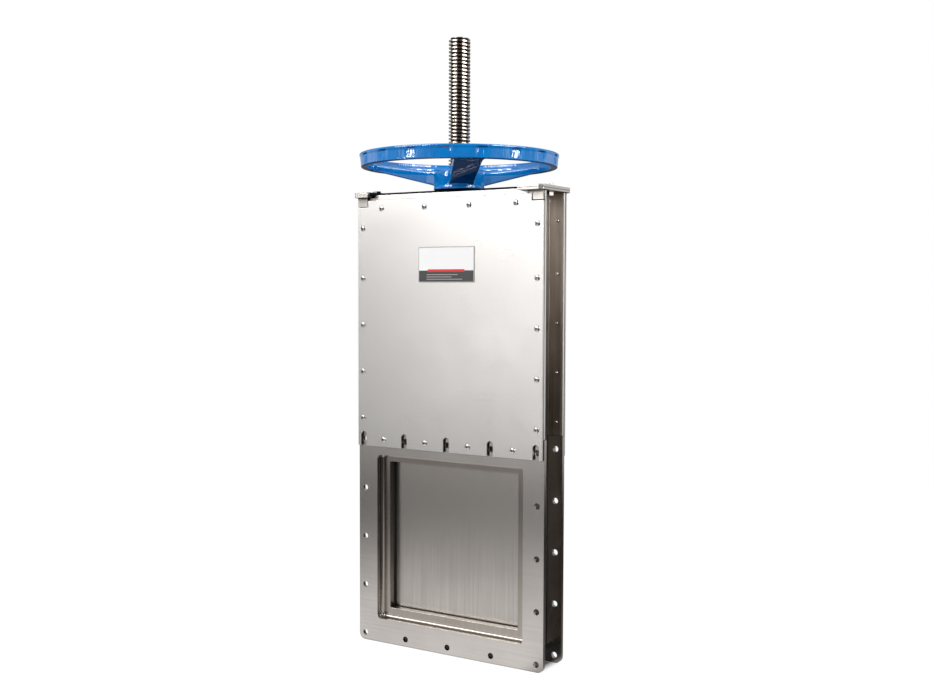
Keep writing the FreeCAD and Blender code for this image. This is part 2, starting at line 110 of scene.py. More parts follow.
# The handwheel's rim and hub, as the CAD handwheel has them
wheel_low, wheel_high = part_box("handwheel")
WHEEL_RADIUS = 195 * MM
RIM_WIDTH = 17 * MM
RIM_HEIGHT = 26 * MM
RIM_LIP_WIDTH = 6 * MM
RIM_LIP_HEIGHT = 4.5 * MM
RIM_LIP_SLOPE = 1.2 * MM
RIM_LEDGE_DROP = 9 * MM
RIM_DRAFT = 1.2 * MM
RIM_BOTTOM = wheel_high.z - RIM_HEIGHT
RIM_SEGMENTS = 432
HUB_BOTTOM = wheel_low.z
HUB_HEIGHT = 36.7 * MM
HUB_RADIUS = 46 * MM
HUB_FOOT_RADIUS = 50 * MM
HUB_FOOT_HEIGHT = 6 * MM
HUB_BORE_RADIUS = 27.05 * MM
HUB_SEGMENTS = 96

# Finger grooves on the rim's outer face, between its lip and its bottom edge
GRIP_ANGLE = math.radians(-54.7)
GROOVE_COUNT = 18
GROOVE_WIDTH = 28 * MM
GROOVE_DEPTH = 3 * MM
GROOVE_RUN_OUT = 7 * MM
GROOVE_REACH = 2.4 * MM
GROOVE_LIP_GAP = 0.5 * MM

# Spokes, in millimetres: what each measures at the hub, and how much that changes towards the rim
SPOKE_ANGLES = [math.radians(-51.7 + 120 * k) for k in range(3)]
SPOKE_STATIONS = (30, 38, 44, 48, 53, 60, 75, 100, 130, 150, 160, 166, 171, 175, 179, 184)
SPOKE_HUB_END = 33
SPOKE_RIM_END = 184
SPOKE_WIDTH = 46
SPOKE_WIDENS = 8
SPOKE_LIFT = 6
SPOKE_CLIMB = 38
SPOKE_DEPTH = 28.5
SPOKE_THINS = 15.5
SPOKE_ROUNDING = 4
HUB_FLARE = 14
HUB_FLARE_WIDTH = 3
RIM_FLARE = 16
RIM_FLARE_WIDTH = 6
RIM_FLARE_DROP = 0.8
FLARE_RISE = 2

# Casting: the cell of the skin that melts rim, spokes and hub together, and how it is smoothed
CAST_CELL = 1.5 * MM
CAST_SMOOTHING = 0.5
CAST_ROUNDS = 3
CAST_SHARP_ANGLE = 75
KEYWAY_OVERRUN = 2 * MM

# Trapezoidal thread of the stem
stem_low, stem_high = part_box("stem")
STEM_RADIUS = 21 * MM
THREAD_ROOT_RADIUS = 17 * MM
THREAD_PITCH = 7 * MM
THREAD_CREST = 2.56 * MM
THREAD_FLANK = 1.07 * MM
THREAD_FOOT = 520 * MM
THREAD_STEPS = 56
THREAD_OVERRUN = 4 * MM
THREAD_CLEARANCE = 1 * MM
CREST_CLEARANCE = 0.01 * MM

# Button head screws, in millimetres: the tip and shank as (radius, height), then the head
SCREW_SHANK = [(1.9, -16.2), (2.6, -15.8), (3.0, -15.0), (3.0, -0.2), (3.2, 0.0)]
SCREW_HEAD_RADIUS = 5.9
SCREW_HEAD_EDGE = 0.4
SCREW_CROWN_RADIUS = 2.9
SCREW_DOME_STEEP = math.radians(60)
SCREW_DOME_SHALLOW = math.radians(8)
SCREW_DOME_RINGS = 6
SCREW_SOCKET_HALF = 2.3
SCREW_SOCKET_FLOOR = 0.6
SCREW_SIDES = 24

# Where the covers' screws sit, in millimetres; the rear cover's side rows stand a little higher
SCREW_SIDE_X = (-201, 201)
SCREW_SIDE_Z = (459, 553.2, 647.4, 741.6, 842)
SCREW_REAR_LIFT = 8
SCREW_TOP_X = (-154.95, -51.65, 51.65, 154.95)
SCREW_TOP_Z = 881
SCREW_BOTTOM_X = (-150, -50, 50, 150)
SCREW_BOTTOM_Z = 417
SCREW_SEED = 7

# Where the colour changes: ground ends of the channels' legs and of the bridge, whose middle is painted
# shade, and where the channels' painted shade gives way to pale sheet
CHANNEL_GROUND = (207 * MM, 211 * MM)
CHANNEL_SHADE_FADES = (500 * MM, 860 * MM)
BRIDGE_RIGHT_END = (156 * MM, 160 * MM)
BRIDGE_LEFT_END = (-182 * MM, -178 * MM)

cover_low, cover_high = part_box("front_cover")
label_low, label_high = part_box("label_plate")

# The label's printed fields, in shares of its half width and half height from its middle
LABEL_FRAME = "#B4B1AF"
LABEL_FIELDS = [
    (-0.975, 0.975, -0.33, 0.955, "#FFFFFF"),
    (-0.975, 0.975, -0.955, -0.33, "#3B3A3B"),
    (-0.66, 0.66, -0.40, -0.26, "#E62A2C"),
    (-0.70, 0.42, -0.58, -0.54, "#A9A7A5"),
    (-0.70, 0.20, -0.71, -0.67, "#A9A7A5"),
    (-0.70, 0.58, -0.84, -0.80, "#A9A7A5"),
]


def linear(colour):
    """A linear colour from an sRGB hex value."""
    parts = [int(colour[k:k + 2], 16) / 255 for k in (1, 3, 5)]
    curve = [c / 12.92 if c <= 0.04045 else ((c + 0.055) / 1.055) ** 2.4 for c in parts]
    return (*curve, 1.0)


def add(tree, kind, inputs=None, **settings):
    """A new node with its settings; each input is a value, another node or one of its outputs."""
    node = tree.nodes.new(kind)
    for name, value in settings.items():
        setattr(node, name, value)
    for key, value in (inputs or {}).items():
        if isinstance(value, bpy.types.Node):
            value = next(output for output in value.outputs if output.enabled)
        if isinstance(value, bpy.types.NodeSocket):
            tree.links.new(value, node.inputs[key])
        else:
            node.inputs[key].default_value = value
    return node


def make_object(name, mesh, material=None):
    """An object at the origin that holds a finished mesh."""
    obj = bpy.data.objects.new(name, mesh)
    scene.collection.objects.link(obj)
    if material is not None:
        mesh.materials.clear()
        mesh.materials.append(material)
    return obj


def axis_distance(tree, place):
    """How far a point lies from the valve's upright axis."""
    flat = add(tree, "ShaderNodeVectorMath", {0: place, 1: (1, 1, 0)}, operation="MULTIPLY")
    return add(tree, "ShaderNodeVectorMath", {0: flat}, operation="LENGTH").outputs["Value"]


# Camera, world, floor and lamps


def set_camera():
    """The photograph's view, a little below the middle of the valve and to its right."""
    data = bpy.data.cameras.new("camera")
    data.lens = CAMERA_LENS
    data.sensor_width = CAMERA_SENSOR
    camera = bpy.data.objects.new("camera", data)
    camera.matrix_world = (
        Matrix.Translation(CAMERA_PLACE)
        @ Matrix.Rotation(math.radians(CAMERA_PAN), 4, "Z")
        @ Matrix.Rotation(math.radians(CAMERA_TILT), 4, "X")
        @ Matrix.Rotation(math.radians(CAMERA_ROLL), 4, "Z")
    )
    scene.collection.objects.link(camera)
    scene.camera = camera


def brightness_curve(tree, value, stops, peak=1.0):
    """Brightness on a smooth curve through (place, brightness) stops, none above the peak."""
    curve = add(tree, "ShaderNodeValToRGB", {"Fac": value})
    curve.color_ramp.interpolation = "EASE"
    elements = curve.color_ramp.elements
    while len(elements) < len(stops):
        elements.new(0.5)
    for element, (place, brightness) in zip(elements, stops):
        share = brightness / peak
        element.position = place
        element.color = (share, share, share, 1.0)
    return add(tree, "ShaderNodeMath", {0: curve.outputs["Color"], 1: peak}, operation="MULTIPLY")


def by_turn(tree, direction, stops):
    """Brightness by the level angle between a direction and the studio's dark side."""
    flat = add(tree, "ShaderNodeVectorMath", {0: direction, 1: (1, 1, 0)}, operation="MULTIPLY")
    level = add(tree, "ShaderNodeVectorMath", {0: flat}, operation="NORMALIZE")
    dark_side = (math.sin(DARK_SIDE), -math.cos(DARK_SIDE), 0)
    cosine = add(tree, "ShaderNodeVectorMath", {0: level, 1: dark_side}, operation="DOT_PRODUCT")
    share = add(tree, "ShaderNodeMath", {
        0: cosine.outputs["Value"], 1: 0.5, 2: 0.5,
    }, operation="MULTIPLY_ADD")
    places = [((math.cos(math.radians(angle)) + 1) / 2, glow) for angle, glow in reversed(stops)]
    return brightness_curve(tree, share, places, AROUND_PEAK)


def by_height(tree, direction, stops):
    """Brightness by a direction's angle above the horizon."""
    rise = add(tree, "ShaderNodeSeparateXYZ", {0: direction}).outputs["Z"]
    share = add(tree, "ShaderNodeMath", {0: rise, 1: 0.5, 2: 0.5}, operation="MULTIPLY_ADD")
    places = [((math.sin(math.radians(angle)) + 1) / 2, glow) for angle, glow in stops]
    return brightness_curve(tree, share, places)


def set_world():
    """White behind the object; what metal mirrors is a room with bright upright panels and a dark side."""
    world = bpy.data.worlds.new("studio")
    scene.world = world
    world.use_nodes = True
    tree = world.node_tree
    tree.nodes.clear()
    path = add(tree, "ShaderNodeLightPath").outputs
    direction = add(tree, "ShaderNodeTexCoord").outputs["Generated"]
    walls = add(tree, "ShaderNodeMath", {
        0: by_turn(tree, direction, ROOM_AROUND), 1: by_height(tree, direction, ROOM_UP),
    }, operation="MULTIPLY")
    room = add(tree, "ShaderNodeMath", {
        0: by_turn(tree, direction, SOFTBOX_AROUND), 1: by_height(tree, direction, SOFTBOX_UP), 2: walls,
    }, operation="MULTIPLY_ADD")
    glow = add(tree, "ShaderNodeMix", {
        "Factor": by_height(tree, direction, ROOM_OVERHEAD), 2: room, 3: CEILING,
    }, data_type="FLOAT")
    mirrored = add(tree, "ShaderNodeMath", {
        0: path["Is Glossy Ray"], 1: path["Is Transmission Ray"],
    }, operation="MAXIMUM")
    white = linear("#FFFFFF")
    dull = add(tree, "ShaderNodeBackground", {
        "Color": white, "Strength": by_height(tree, direction, DULL_UP),
    })
    bright = add(tree, "ShaderNodeBackground", {"Color": white, "Strength": glow})
    plain = add(tree, "ShaderNodeBackground", {"Color": white, "Strength": 1.0})
    lit = add(tree, "ShaderNodeMixShader", {0: mirrored, 1: dull, 2: bright})
    seen = add(tree, "ShaderNodeMixShader", {0: path["Is Camera Ray"], 1: lit, 2: plain})
    add(tree, "ShaderNodeOutputWorld", {"Surface": seen})


def painted_foot_shadow(tree, place):
    """Painted shadow on the floor: the share of its brightness kept, next to none between the flanges' feet.
    """
    parts = add(tree, "ShaderNodeSeparateXYZ", {0: place}).outputs
    beyond = []
    for axis, reach, soft in (
        ("X", FOOT_HALF_LENGTH, FOOT_SOFT_LENGTH),
        ("Y", FOOT_HALF_DEPTH, FOOT_SOFT_DEPTH),
    ):
        off_middle = add(tree, "ShaderNodeMath", {0: parts[axis]}, operation="ABSOLUTE")
        beyond.append(add(tree, "ShaderNodeMapRange", {
            "Value": off_middle, "From Min": reach - soft, "From Max": reach + soft, "To Min": FOOT_LIGHT,
        }))
    return add(tree, "ShaderNodeMath", {0: beyond[0], 1: beyond[1]}, operation="MAXIMUM")


def floor_in_metal(tree, place, light):
    """How bright the floor looks in metal: pale near the valve, and by the side of the studio far off, with
    painted shadows.
    """
    away = add(tree, "ShaderNodeVectorMath", {0: place}, operation="LENGTH").outputs["Value"]
    share = add(tree, "ShaderNodeMath", {0: away, 1: FLOOR_REACH}, operation="DIVIDE")
    tone = brightness_curve(tree, share, [(reach / FLOOR_REACH, glow) for reach, glow in FLOOR_TONE])
    # Painted shadow: to its right the valve keeps the left softbox's light off the floor as metal mirrors it
    across = add(tree, "ShaderNodeSeparateXYZ", {0: place}).outputs["X"]
    lee = add(tree, "ShaderNodeMapRange", {
        "Value": across, "From Min": LEE_START, "From Max": LEE_FULL, "To Min": 1.0, "To Max": LEE_LIGHT,
    })
    far = add(tree, "ShaderNodeMapRange", {
        "Value": away, "From Min": FLOOR_FAR_FROM, "From Max": FLOOR_FAR_FULL,
    })
    sided = add(tree, "ShaderNodeMix", {
        "Factor": far, 2: 1.0, 3: by_turn(tree, place, FLOOR_AROUND),
    }, data_type="FLOAT")
    sheltered = add(tree, "ShaderNodeMath", {0: light, 1: lee}, operation="MULTIPLY")
    near_tone = add(tree, "ShaderNodeMath", {0: sheltered, 1: FLOOR_TONE_SCALE}, operation="MULTIPLY")
    far_tone = add(tree, "ShaderNodeMath", {0: tone, 1: sided}, operation="MULTIPLY")
    return add(tree, "ShaderNodeMath", {0: far_tone, 1: near_tone}, operation="MULTIPLY")


def set_floor():
    """A pale floor that shows white to the camera, with a faint painted shadow at the valve's foot."""
    material = bpy.data.materials.new("pale_studio_floor")
    material.use_nodes = True
    tree = material.node_tree
    tree.nodes.clear()
    path = add(tree, "ShaderNodeLightPath").outputs
    place = add(tree, "ShaderNodeTexCoord").outputs["Object"]
    light = painted_foot_shadow(tree, place)
    paint = add(tree, "ShaderNodeBsdfDiffuse", {"Color": linear("#8F8D8B")})
    mirrored = add(tree, "ShaderNodeEmission", {
        "Color": linear("#FFFFFF"), "Strength": floor_in_metal(tree, place, light),
    })
    faint = add(tree, "ShaderNodeBsdfDiffuse", {"Color": linear("#696969")})
    glow = add(tree, "ShaderNodeEmission", {
        "Color": linear("#FFFFFF"),
        "Strength": add(tree, "ShaderNodeMath", {0: light, 1: FLOOR_WHITE}, operation="MULTIPLY"),
    })
    white = add(tree, "ShaderNodeAddShader", {0: faint, 1: glow})
    lit = add(tree, "ShaderNodeMixShader", {0: path["Is Glossy Ray"], 1: paint, 2: mirrored})
    seen = add(tree, "ShaderNodeMixShader", {0: path["Is Camera Ray"], 1: lit, 2: white})
    add(tree, "ShaderNodeOutputMaterial", {"Surface": seen})
    circle = []
    for k in range(FLOOR_SIDES):
        turn = 2 * math.pi * k / FLOOR_SIDES
        circle.append((FLOOR_REACH * math.cos(turn), FLOOR_REACH * math.sin(turn), 0))
    mesh = bpy.data.meshes.new("floor")
    mesh.from_pydata(circle, [], [tuple(range(FLOOR_SIDES))])
    make_object("floor", mesh, material)


def add_softbox(name, place, aim, width, height, watts):
    """A large soft lamp at a place, turned to its aim."""
    data = bpy.data.lights.new(name, "AREA")
    data.shape = "RECTANGLE"
    data.size = width
    data.size_y = height
    data.energy = watts
    lamp = bpy.data.objects.new(name, data)
    lamp.location = place
    lamp.rotation_euler = (Vector(aim) - Vector(place)).to_track_quat("-Z", "Y").to_euler()
    scene.collection.objects.link(lamp)


def set_lamps():
    """Soft light from high on the left and from the right, and upright strips that streak the wheel's rim."""
    for name, place, width, height, watts in LAMPS:
        add_softbox(name, place, LAMP_AIM, width, height, watts)
    for k, angle in enumerate(STRIP_ANGLES):
        turn = DARK_SIDE + math.radians(angle)
        place = (STRIP_REACH * math.sin(turn), -STRIP_REACH * math.cos(turn), STRIP_HEIGHT)
        aim = (0, 0, wheel_low.z)
        add_softbox(f"strip_{k + 1}", place, aim, STRIP_WIDTH, STRIP_LENGTH, STRIP_POWER)


# Materials


def new_material(name, inputs):
    """A material with the constants of its shader set; returns it with its tree and shader."""
    material = bpy.data.materials.new(name)
    material.use_nodes = True
    tree = material.node_tree
    tree.nodes.clear()
    shader = add(tree, "ShaderNodeBsdfPrincipled", inputs)
    add(tree, "ShaderNodeOutputMaterial", {"Surface": shader})
    return material, tree, shader


def clouds(tree, stretch, scale, detail):
    """Clouds from 0 to 1 on the object's own coordinates, drawn out along an axis by a small stretch."""
    place = add(tree, "ShaderNodeTexCoord").outputs["Object"]
    point = add(tree, "ShaderNodeMapping", {"Vector": place, "Scale": stretch})
    return add(tree, "ShaderNodeTexNoise", {"Vector": point, "Scale": scale, "Detail": detail})


def blend_colour(tree, value, low, high, span=(0.3, 0.7)):
    """A colour between two hex values, by a pattern's value over a span."""
    share = add(tree, "ShaderNodeMapRange", {"Value": value, "From Min": span[0], "From Max": span[1]})
    return add(tree, "ShaderNodeMix", {"Factor": share, 6: linear(low), 7: linear(high)}, data_type="RGBA")


def set_roughness(tree, shader, value, span, ends):
    """Lets a pattern's value over a span lead the roughness from one end to the other."""
    rough = add(tree, "ShaderNodeMapRange", {
        "Value": value, "From Min": span[0], "From Max": span[1], "To Min": ends[0], "To Max": ends[1],
    })
    tree.links.new(rough.outputs["Result"], shader.inputs["Roughness"])


def painted_corner_shade(tree, shader, colour, reach_mm, least=0.22, span=(0.25, 0.8)):
    """Painted shade: lets a colour run darker where pieces meet and in inner corners, by ambient occlusion.
    """
    nook = add(tree, "ShaderNodeAmbientOcclusion", {"Distance": reach_mm * MM}, samples=8)
    share = add(tree, "ShaderNodeMapRange", {
        "Value": nook.outputs["AO"], "From Min": span[0], "From Max": span[1], "To Min": least,
    })
    shaded = add(tree, "ShaderNodeMix", {
        "Factor": share, 6: linear("#120F0D"), 7: colour,
    }, data_type="RGBA")
    tree.links.new(shaded.outputs[2], shader.inputs["Base Color"])


def brushed_stainless(name, dark, pale, roughness, grain, shade_reach_mm=5.0, line_share=0.3, nook=(0.25, 0.8)):
    """Stainless sheet with a ground finish: fine parallel grain, cloudy patches, and painted shade in the
    corners.
    """
    material, tree, shader = new_material(name, {"Metallic": 1.0})
    # Grinding lines 5 mm apart and 250 mm long, which is coarser than real so that they show
    along = {"X": (0.02, 1, 1), "Y": (1, 0.02, 1), "Z": (1, 1, 0.02)}[grain]
    lines = clouds(tree, along, 200, 1.0)
    patches = clouds(tree, (1, 1, 1), 9, 3.0)
    patch_part = add(tree, "ShaderNodeMath", {0: patches, 1: 1 - line_share}, operation="MULTIPLY")
    mixed = add(tree, "ShaderNodeMath", {0: lines, 1: line_share, 2: patch_part}, operation="MULTIPLY_ADD")
    painted_corner_shade(tree, shader, blend_colour(tree, mixed, dark, pale, (0.2, 0.8)), shade_reach_mm, 0.15, nook)
    set_roughness(tree, shader, mixed, (0.2, 0.8), (roughness + 0.04, roughness - 0.04))
    return material


def channel_stainless():
    """The side channels: dull brown-grey mill finish in the hollow with painted shade towards the floor,
    bright ground ends on the legs.
    """
    material, tree, shader = new_material("mill_finish_stainless_channel", {"Metallic": 1.0})
    place = add(tree, "ShaderNodeTexCoord").outputs["Object"]
    parts = add(tree, "ShaderNodeSeparateXYZ", {0: place}).outputs
    across = add(tree, "ShaderNodeMath", {0: parts["X"]}, operation="ABSOLUTE")
    ground = add(tree, "ShaderNodeMapRange", {
        "Value": across, "From Min": CHANNEL_GROUND[0], "From Max": CHANNEL_GROUND[1],
    })
    # Rolling streaks 4.5 mm apart that run up the sheet, with stains 40 mm wide
    streaks = clouds(tree, (1, 1, 0.03), 220, 2.0)
    stains = clouds(tree, (1, 1, 0.3), 25, 3.0)
    half_stains = add(tree, "ShaderNodeMath", {0: stains, 1: 0.5}, operation="MULTIPLY")
    mottle = add(tree, "ShaderNodeMath", {0: streaks, 1: 0.5, 2: half_stains}, operation="MULTIPLY_ADD")
    # Painted shade: the sheet is browner and darker towards the floor
    upper = add(tree, "ShaderNodeMapRange", {
        "Value": parts["Z"], "From Min": CHANNEL_SHADE_FADES[0], "From Max": CHANNEL_SHADE_FADES[1],
    })
    mill = add(tree, "ShaderNodeMix", {
        "Factor": upper,
        6: blend_colour(tree, mottle, "#766D65", "#9F958C", (0.35, 0.65)),
        7: blend_colour(tree, mottle, "#CDC3B9", "#EAE1D8", (0.35, 0.65)),
    }, data_type="RGBA")
    colour = add(tree, "ShaderNodeMix", {"Factor": ground, 6: mill, 7: linear("#E2DFDC")}, data_type="RGBA")
    painted_corner_shade(tree, shader, colour, 4.0)
    set_roughness(tree, shader, ground, (0.0, 1.0), (0.42, 0.30))
    return material


def turned_stainless():
    """The stem: stainless bar with a cut thread, bright crests, and roots painted dark brown as shade."""
    material, tree, shader = new_material("turned_stainless", {"Metallic": 1.0, "Roughness": 0.22})
    place = add(tree, "ShaderNodeTexCoord").outputs["Object"]
    upright = add(tree, "ShaderNodeSeparateXYZ", {0: place}).outputs["Z"]
    crest = add(tree, "ShaderNodeMapRange", {
        "Value": axis_distance(tree, place), "From Min": THREAD_ROOT_RADIUS, "From Max": STEM_RADIUS,
    })
    # The turned top end is as bright as the crests
    faced_end = add(tree, "ShaderNodeMapRange", {
        "Value": upright, "From Min": stem_high.z - 1.5 * MM, "From Max": stem_high.z - 0.5 * MM,
    })
    bright = add(tree, "ShaderNodeMath", {0: crest, 1: faced_end}, operation="MAXIMUM")
    # Painted shade: the thread's roots dark brown, the crests pale
    colour = blend_colour(tree, bright, "#3A3029", "#B4AFA9", (0.1, 0.8))
    tree.links.new(colour.outputs[2], shader.inputs["Base Color"])
    return material


def wheel_enamel():
    """The handwheel: gloss blue enamel sprayed over cast iron, painted navy below as shade, with a slightly
    wavy skin.
    """
    material, tree, shader = new_material("blue_gloss_enamel", {
        "Roughness": 0.4, "Specular IOR Level": 0.0, "Coat Roughness": 0.03, "Coat IOR": 1.8,
    })
    place = add(tree, "ShaderNodeTexCoord").outputs
    # Painted shade: the undersides are navy, and they are less glossy
    down = add(tree, "ShaderNodeSeparateXYZ", {0: place["Normal"]}).outputs["Z"]
    underside = add(tree, "ShaderNodeMapRange", {
        "Value": down, "From Min": -0.85, "From Max": -0.5, "To Min": 1.0, "To Max": 0.0,
    })
    patches = clouds(tree, (1, 1, 1), 40, 3.0)
    colour = add(tree, "ShaderNodeMix", {
        "Factor": underside, 6: blend_colour(tree, patches, "#0078C8", "#0084D6"), 7: linear("#003C78"),
    }, data_type="RGBA")
    painted_corner_shade(tree, shader, colour, 12.0)
    gloss = add(tree, "ShaderNodeMapRange", {"Value": underside, "To Min": 1.0, "To Max": 0.3})
    tree.links.new(gloss.outputs["Result"], shader.inputs["Coat Weight"])
    # The casting skin shows through as upright waves 8 mm apart on the rim, and hardly on the spokes
    waves = clouds(tree, (1, 1, 0.2), 130, 1.5)
    swell = add(tree, "ShaderNodeMapRange", {
        "Value": axis_distance(tree, place["Object"]),
        "From Min": WHEEL_RADIUS - 12 * MM, "From Max": WHEEL_RADIUS - 6 * MM, "To Min": 0.15,
    })
    bump = add(tree, "ShaderNodeBump", {"Height": waves, "Strength": swell, "Distance": 0.9 * MM})
    for layer in ("Normal", "Coat Normal"):
        tree.links.new(bump.outputs["Normal"], shader.inputs[layer])
    return material


def plain_finish(name, low, high, metallic, roughness, patch_mm):
    """A finish with a faint mottle of a given patch size, and painted shade in its corners."""
    material, tree, shader = new_material(name, {"Metallic": metallic})
    patches = clouds(tree, (1, 1, 1), 1 / (patch_mm * MM), 3.0)
    painted_corner_shade(tree, shader, blend_colour(tree, patches, low, high), 3.0, 0.02, (0.5, 0.95))
    set_roughness(tree, shader, patches, (0.3, 0.7), (roughness + 0.04, roughness - 0.04))
    return material


def bridge_with_painted_shade():
    """The bridge: its middle painted near black as shade, ground bright on the ends that lie on the lugs."""
    material, tree, shader = new_material("bridge_stainless_ground_ends_painted_shade", {"Metallic": 1.0})
    place = add(tree, "ShaderNodeTexCoord").outputs["Object"]
    across = add(tree, "ShaderNodeSeparateXYZ", {0: place}).outputs["X"]
    right_end = add(tree, "ShaderNodeMapRange", {
        "Value": across, "From Min": BRIDGE_RIGHT_END[0], "From Max": BRIDGE_RIGHT_END[1],
    })
    left_end = add(tree, "ShaderNodeMapRange", {
        "Value": across, "From Min": BRIDGE_LEFT_END[0], "From Max": BRIDGE_LEFT_END[1],
        "To Min": 1.0, "To Max": 0.0,
    })
    ground = add(tree, "ShaderNodeMath", {0: right_end, 1: left_end}, operation="ADD")
    # Painted shade: near black along the middle, bright on the ends
    colour = add(tree, "ShaderNodeMix", {
        "Factor": ground, 6: linear("#1F1C1A"), 7: linear("#C9C5C0"),
    }, data_type="RGBA")
    painted_corner_shade(tree, shader, colour, 4.0)
    set_roughness(tree, shader, ground, (0.0, 1.0), (0.5, 0.25))
    return material


def inside_field(tree, parts, axis, low, high):
    """One where a coordinate lies between two places, and zero elsewhere."""
    off = add(tree, "ShaderNodeMath", {0: parts[axis], 1: (low + high) / 2}, operation="SUBTRACT")
    distance = add(tree, "ShaderNodeMath", {0: off}, operation="ABSOLUTE")
    return add(tree, "ShaderNodeMath", {0: distance, 1: (high - low) / 2}, operation="LESS_THAN")


def label_film():
    """The plate on the cover: printed film with plain fields, a few plain bars and no words."""
    material, tree, shader = new_material("printed_film", {"Roughness": 0.35})
    place = add(tree, "ShaderNodeTexCoord").outputs["Object"]
    parts = add(tree, "ShaderNodeSeparateXYZ", {0: place}).outputs
    middle = (label_low + label_high) / 2
    half = (label_high - label_low) / 2
    colour = linear(LABEL_FRAME)
    for x0, x1, z0, z1, ink in LABEL_FIELDS:
        wide = inside_field(tree, parts, "X", middle.x + x0 * half.x, middle.x + x1 * half.x)
        tall = inside_field(tree, parts, "Z", middle.z + z0 * half.z, middle.z + z1 * half.z)
        field = add(tree, "ShaderNodeMath", {0: wide, 1: tall}, operation="MULTIPLY")
        colour = add(tree, "ShaderNodeMix", {"Factor": field, 6: colour, 7: linear(ink)}, data_type="RGBA")
    tree.links.new(colour.outputs[2], shader.inputs["Base Color"])
    return material


# Meshes


def rounded(corners, steps=3):
    """An outline of (a, b, radius) corners with each corner turned into an arc."""
    points = []
    count = len(corners)
    for k in range(count):
        here = Vector(corners[k][:2])
        radius = corners[k][2]
        if radius == 0:
            points.append(here)
            continue
        to_last = (Vector(corners[k - 1][:2]) - here).normalized()
        to_next = (Vector(corners[(k + 1) % count][:2]) - here).normalized()
        half = to_last.angle(to_next) / 2
        reach = radius / math.tan(half)
        centre = here + (to_last + to_next).normalized() * radius / math.sin(half)
        start = here + to_last * reach - centre
        turn = math.pi - 2 * half
        if start.x * to_next.y - start.y * to_next.x < 0:
            turn = -turn
        for step in range(steps + 1):
            angle = turn * step / steps
            points.append(centre + Vector((
                start.x * math.cos(angle) - start.y * math.sin(angle),
                start.x * math.sin(angle) + start.y * math.cos(angle),
            )))
    return points


def join_rings(shape, rings, closed):
    """Faces between each ring of points and the next, and flat ends unless the row is closed."""
    count = len(rings)
    size = len(rings[0])
    for k in range(count if closed else count - 1):
        here, there = rings[k], rings[(k + 1) % count]
        for j in range(size):
            shape.faces.new((here[j], there[j], there[(j + 1) % size], here[(j + 1) % size]))
    if not closed:
        shape.faces.new(rings[0][::-1])
        shape.faces.new(rings[-1])
    bmesh.ops.recalc_face_normals(shape, faces=shape.faces)


def lathe(profile, segments):
    """A closed ring around the Z axis from an outline of (radius, height) points."""
    shape = bmesh.new()
    rings = []
    for k in range(segments):
        angle = 2 * math.pi * k / segments
        rings.append([
            shape.verts.new((radius * math.cos(angle), radius * math.sin(angle), height))
            for radius, height in profile
        ])
    join_rings(shape, rings, closed=True)
    return shape


def to_mesh(shape, name):
    """A bmesh turned into a mesh and set free."""
    mesh = bpy.data.meshes.new(name)
    shape.to_mesh(mesh)
    shape.free()
    return mesh


def smooth(mesh, sharp_angle):
    """Smooth shading, with the edges above an angle in degrees kept sharp."""
    mesh.shade_smooth()
    mesh.set_sharp_from_angle(angle=math.radians(sharp_angle))


# Geometry Nodes


def growth(name, sizes):
    """A Geometry Nodes tree with named sizes; returns it with its input node's outputs."""
    tree = bpy.data.node_groups.new(name, "GeometryNodeTree")
    tree.interface.new_socket("Geometry", in_out="INPUT", socket_type="NodeSocketGeometry")
    kinds = {float: "NodeSocketFloat", int: "NodeSocketInt", bpy.types.Object: "NodeSocketObject"}
    for label, value in sizes.items():
        tree.interface.new_socket(label, in_out="INPUT", socket_type=kinds[type(value)])
    tree.interface.new_socket("Geometry", in_out="OUTPUT", socket_type="NodeSocketGeometry")
    return tree, add(tree, "NodeGroupInput").outputs


def grow(name, tree, result, sizes, material, base):
    """Ends the tree, runs it on a base mesh with its sizes and returns the plain mesh it makes."""
    solid = add(tree, "GeometryNodeRealizeInstances", {0: result})
    dressed = add(tree, "GeometryNodeSetMaterial", {"Geometry": solid, "Material": material})
    add(tree, "NodeGroupOutput", {"Geometry": dressed})
    carrier = make_object(name + "_carrier", base)
    modifier = carrier.modifiers.new("growth", "NODES")
    modifier.node_group = tree
    for item in tree.interface.items_tree:
        if item.in_out == "INPUT" and item.name in sizes:
            modifier[item.identifier] = sizes[item.name]
    mesh = evaluated_mesh(carrier)
    mesh.name = name
    carrier.modifiers.remove(modifier)
    bpy.data.objects.remove(carrier)
    return mesh


def evaluated_mesh(obj):
    """The plain mesh that an object's modifiers make."""
    graph = bpy.context.evaluated_depsgraph_get()
    return bpy.data.meshes.new_from_object(obj.evaluated_get(graph))


def carve(mesh, tool, operation):
    """The first mesh cut by the second, or kept only inside it."""
    body = make_object("body_to_carve", mesh)
    cutter = make_object("carving_tool", tool)
    modifier = body.modifiers.new("carve", "BOOLEAN")
    modifier.operation = operation
    modifier.solver = "MANIFOLD"
    modifier.object = cutter
    carved = evaluated_mesh(body)
    bpy.data.objects.remove(body)
    bpy.data.objects.remove(cutter)
    return carved


# The threaded stem


